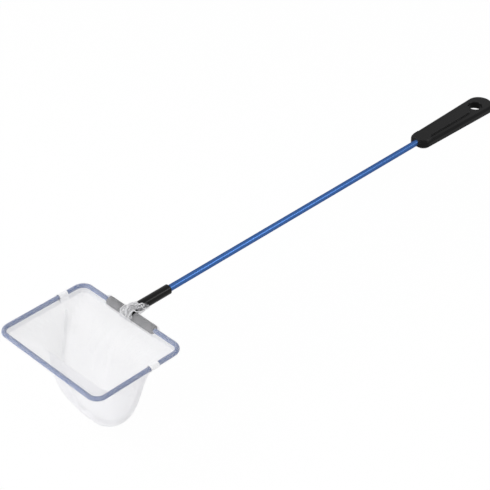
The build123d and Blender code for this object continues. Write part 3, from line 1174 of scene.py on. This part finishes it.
# %% [markdown]
# The points of a roll are given where a maker would point to them: so far across the patch and so far round
# the arms, or so far round the stem and so far along it. A roll has to lie on the cloth, so each point of
# its line is looked up on the patch and on the connector, and moved out where it is sunk in or too near.

# %% Places on the bunched cloth
lift_off_patch = 0.3 * mm
lift_off_stem = 0.9 * mm


def on_patch(across, degrees):
    """Place on the draped patch, given in millimetres across and degrees round the arms."""
    row = (math.radians(degrees) - patch_start) / (patch_end - patch_start) * (patch_rows - 1)
    col = (across * mm - patch_left) / (patch_right - patch_left) * (patch_cols - 1)
    point = patch_point(min(max(round(row), 0), patch_rows - 1), min(max(round(col), 0), patch_cols - 1))
    outward = Vector((0, point.y - back_y, point.z - wire_z)).normalized()
    return Vector((across * mm, point.y, point.z)) + outward * lift_off_patch


def on_stem(degrees, along):
    """Place on the sleeve, given in degrees round the stem and millimetres from the wire."""
    turn = math.radians(degrees)
    radius = stem_r + lift_off_stem
    return Vector((radius * math.cos(turn), back_y + along * mm, stem_axis_z + radius * math.sin(turn)))


def clear_of(surface, point, rest, reach):
    """The point, moved out to rest on a surface where it is sunk in it or nearer than that."""
    near, facing, _, gap = surface.find_nearest(point)
    if gap < reach and (point - near).dot(facing) < rest:
        point = near + facing * rest
    return point


patch_mesh = neck_patch.data
crumpled = BVHTree.FromPolygons(
    [vertex.co for vertex in patch_mesh.vertices], [list(face.vertices) for face in patch_mesh.polygons])
print("top of the patch at", [round(c, 4) for c in on_patch(0, 0)])

# %% [markdown]
# Five rolls follow the few white lines that the photograph shows, and are otherwise made up: a loop and a
# hook on the patch, one roll that runs up beside the stem, and two that wander over it.

# %% Rolls of bunched cloth
roll_steps, roll_sides = 12, 10
roll_bed, patch_reach = 0.8, 1.6 * mm
tee_clear, tee_reach = 0.25 * mm, 6 * mm
thin_end = 0.35


def roll(thick, *wander):
    """Soft tube along a line of places, which rests on the patch and is kept off the connector."""
    line = []
    for place in smooth_line(wander, roll_steps):
        point = clear_of(crumpled, place, roll_bed * thick, patch_reach)
        line.append(clear_of(tee, point, thick + tee_clear, tee_reach))

    def radius_at(share):
        """Thickest in the middle, thinner towards both ends."""
        return thick * (thin_end + (1 - thin_end) * math.sqrt(math.sin(math.pi * share)))

    return tube_rows(line, radius_at, roll_sides)


loop_roll = roll(
    0.55 * mm, on_patch(-8.8, -34), on_patch(-8.6, -8), on_patch(-6.8, 12), on_patch(-3.4, 8),
    on_patch(-0.6, -24), on_patch(0.2, -58), on_patch(-3.2, -84), on_patch(-7.4, -68), on_patch(-8.9, -38))
hook_roll = roll(
    0.42 * mm, on_patch(-6.6, -92), on_patch(-5.6, -50), on_patch(-3.6, -36), on_patch(-2.6, -60))
side_roll = roll(
    0.55 * mm, on_patch(2.2, -104), on_patch(2.8, -66), on_patch(4.2, -24), on_stem(2, 3.6), on_stem(-8, 5.4),
    on_stem(-20, 8.0), on_stem(-28, 10.5))
top_roll = roll(
    0.45 * mm, on_patch(-0.6, -4), on_stem(76, 3.6), on_stem(60, 7.5), on_stem(54, 9.8), on_stem(30, 10.4),
    on_stem(36, 6.0), on_stem(40, 3.8))
cross_roll = roll(
    0.38 * mm, on_stem(118, 3.8), on_stem(96, 5.2), on_stem(70, 5.6), on_stem(44, 7.8), on_stem(10, 8.6),
    on_stem(-6, 12.2))
neck_rolls = lay_cloth(
    "neck_rolls", [loop_roll, hook_roll, side_roll, top_roll, cross_roll], rolled_mesh, "bag_mesh")

# %% [markdown]
# ## Sewing thread
#
# A row of straight stitches closes the hem below the wire, and a zigzag holds the edges along the seams. At
# arm's length they hardly show, but close up they say how the net is made. The thread's own map runs along
# it and round it, so a slanted wave on that map gives the thread its twist.

# %% Thread finish
twist_pitch = 0.4 * mm
thread_white, thread_nodes, thread_shader = new_finish("twisted_thread")
thread_tone = place_group(
    thread_nodes, tone, Clean=(0.95, 0.95, 0.95, 1), Used=(0.85, 0.86, 0.87, 1), Scale=400.0)
thread_nodes.links.new(thread_tone.outputs["Color"], thread_shader.inputs["Base Color"])
thread_nodes.links.new(thread_tone.outputs["Rough"], thread_shader.inputs["Roughness"])
thread_map = add_node(thread_nodes, "ShaderNodeUVMap", uv_map="cloth")
thread_split = add_node(thread_nodes, "ShaderNodeSeparateXYZ")
thread_nodes.links.new(thread_map.outputs[0], thread_split.inputs[0])
slant = work_out(thread_nodes, "ADD", thread_split.outputs[0], thread_split.outputs[1])
phase = work_out(thread_nodes, "MULTIPLY", slant, 2 * math.pi / twist_pitch)
add_bump(thread_nodes, work_out(thread_nodes, "SINE", phase), thread_shader, distance=0.04 * mm, strength=0.6)
print("thread finish ready")

# %% [markdown]
# Each stitch of the hem is a short tube that stands off the cloth in the middle and dips into it at both
# ends. A line of dashes on a texture would be flat from the side. The stitches run round the loop on the
# outer and the inner layer, and stop short of the stem.

# %% Stitches along the hem
stitch_count = 150
stitch_length = 1.8 * mm
stitch_parts = 6
stitch_rise = 0.22 * mm
stitch_r, stitch_sides = 0.13 * mm, 6
first_stitch = stem_side + 2 * mm
stitch_run = loop_length - 2 * first_stitch


def stitch_place(distance, side, rise):
    """Place on the hem's stitching, on its outer (1) or inner (-1) layer."""
    x, y, out_x, out_y = around_loop(distance)
    drop = max(stitch_drop, over_arm(distance) + below_round)
    off = side * (layer_half + rise)
    out = off * side_out + drop * down_out
    z = off * side_z + drop * down_z
    return Vector((x + out * out_x, y + out * out_y, wire_z + z))


def hem_stitch(start, side):
    """One stitch on one layer."""
    line = []
    for part in range(stitch_parts + 1):
        share = part / stitch_parts
        rise = stitch_rise * math.sin(math.pi * share)
        line.append(stitch_place(start + stitch_length * share, side, rise))
    return tube_rows(line, lambda share: stitch_r, stitch_sides)


hem_stitches = []
for number in range(stitch_count):
    start = first_stitch + stitch_run * number / stitch_count
    hem_stitches += [hem_stitch(start, 1), hem_stitch(start, -1)]
hem_stitching = lay_cloth("hem_stitching", hem_stitches, thread_white, "seam_white")

# %% [markdown]
# The zigzag is one long thread on each face of the seam's band. It swings from near the U's edge to near
# the turned-in fold and back, down one side to the foot, and the other side mirrors it.

# %% Zigzag along the seams
zigzag_insets = (3.4 * mm, 1.0 * mm)
zigzag_lift = 0.62 * mm
zigzag_r, zigzag_sides = 0.1 * mm, 5
zigzag_levels = even_levels(0.06, split_level, 38) + foot_levels(34)[1:]


def zigzag(side, face):
    """Thread down one side of the bag, on one face of the band."""
    line = []
    for number, level in enumerate(zigzag_levels):
        line.append(seam_point(level, zigzag_insets[number % 2], face * zigzag_lift, side))
    return tube_rows(line, lambda share: zigzag_r, zigzag_sides)


zigzags = [zigzag(side, face) for side in (-1, 1) for face in (-1, 1)]
seam_stitching = lay_cloth("seam_stitching", zigzags, thread_white, "seam_white")

# %% [markdown]
# ## Cloth facts
#
# Each panel's cut is given as a size, and the flat area of that cut is printed beside the area of the hung
# panel. The rectangle takes in the hem's fold. Below the hem the cut tapers from the panel's share of the
# mouth to the foot, whose two corners are round. The hems, joins, seam strips and bunched neck are the same
# cloth's edges.

front_cut = (0.240, 0.094)
rear_cut = (0.184, 0.094)
cut_below_hem = 80 * mm
cut_foot = 74 * mm
cut_corner = 37 * mm


def cut_area(cut):
    """Flat area of a panel below its hem."""
    return (cut[0] + cut_foot) / 2 * cut_below_hem - (2 - math.pi / 2) * cut_corner**2


for panel, cut in ((front_net, front_cut), (rear_net, rear_cut)):
    print(panel.name, "hung", round(measured(panel), 5), "cut", round(cut_area(cut), 5), "m2")
